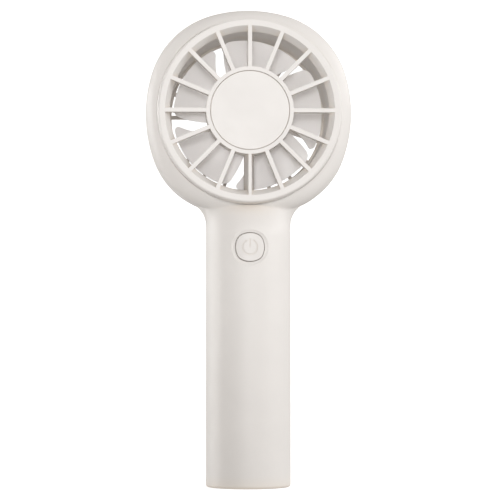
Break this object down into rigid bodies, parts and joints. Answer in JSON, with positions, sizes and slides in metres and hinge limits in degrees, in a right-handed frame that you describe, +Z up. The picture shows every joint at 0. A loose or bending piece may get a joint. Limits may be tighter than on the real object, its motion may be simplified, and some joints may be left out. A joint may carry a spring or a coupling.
{
  "type": "handheld electric fan",
  "caption": "Handheld fan: a round caged head with a motor-driven impeller on a straight round handle with a push button, a rechargeable cell and a charging socket in its foot.",
  "frame": {"origin": "centre of the handle's flat foot, on the handle's axis", "axes": "+Z up along the handle to the head, -Y out of the front of the fan, +X to the right of a person who looks at the front"},
  "size_m": [0.0886, 0.037, 0.2051],
  "materials": {
    "shell_plastic": "fine spark-eroded matt",
    "grille_plastic": "fine spark-eroded matt",
    "cap_plastic": "satin",
    "button_plastic": "satin",
    "blade_plastic": "smooth matt",
    "inner_plastic": "as moulded",
    "black_plastic": "as moulded",
    "ceramic_chip": "fired ceramic",
    "circuit_board": "solder mask",
    "lead_insulation": "smooth insulation",
    "cell_wrap": "shrink wrap",
    "nickel": "nickel plated",
    "foam": "closed-cell foam",
    "zinc_steel": "zinc plated",
    "ground_steel": "ground",
    "magnet": "bonded ferrite",
    "lamination": "lacquered steel",
    "copper_wire": "enamelled copper",
    "brass_tube": "turned"
  },
  "bodies": {
    "casing": {"front_shell": "shell_plastic", "rear_shell": "shell_plastic", "base_cap": "shell_plastic", "front_duct": "shell_plastic", "front_bezel": "grille_plastic", "grille_hub": "grille_plastic", "front_grille": "grille_plastic", "motor_mount": "grille_plastic", "rear_grille": "grille_plastic", "hub_cap": "cap_plastic", "battery_cradle": "inner_plastic", "motor_plug": "inner_plastic", "thrust_washer": "inner_plastic", "tact_switch": "black_plastic", "usb_tongue": "black_plastic", "controller_chip": "black_plastic", "charger_chip": "black_plastic", "power_inductor": "black_plastic", "board_capacitors": "ceramic_chip", "main_board": "circuit_board", "motor_board": "circuit_board", "motor_leads": "lead_insulation", "battery_cell": "cell_wrap", "battery_tabs": "nickel", "battery_pads": "foam", "usb_socket": "nickel", "casing_screws": "zinc_steel", "board_screws": "zinc_steel", "front_bearing": "ground_steel", "rear_bearing": "ground_steel", "stator_core": "lamination", "stator_windings": "copper_wire", "bearing_tube": "brass_tube"},
    "impeller": {"impeller": "blade_plastic", "rotor_bell": "zinc_steel", "magnet_ring": "magnet", "motor_shaft": "ground_steel", "retaining_clip": "zinc_steel"},
    "button": {"power_button": "button_plastic", "switch_plunger": "black_plastic"}
  },
  "joints": [
    {"name": "impeller_spin", "type": "hinge", "parent": "casing", "child": "impeller", "pos_m": [0, 0, 0.1608], "axis": [0, 1, 0], "continuous": true},
    {"name": "button_press", "type": "slide", "parent": "casing", "child": "button", "axis": [0, 1, 0], "range_m": [0, 0.0004], "stiffness_N_per_m": 1500}
  ]
}
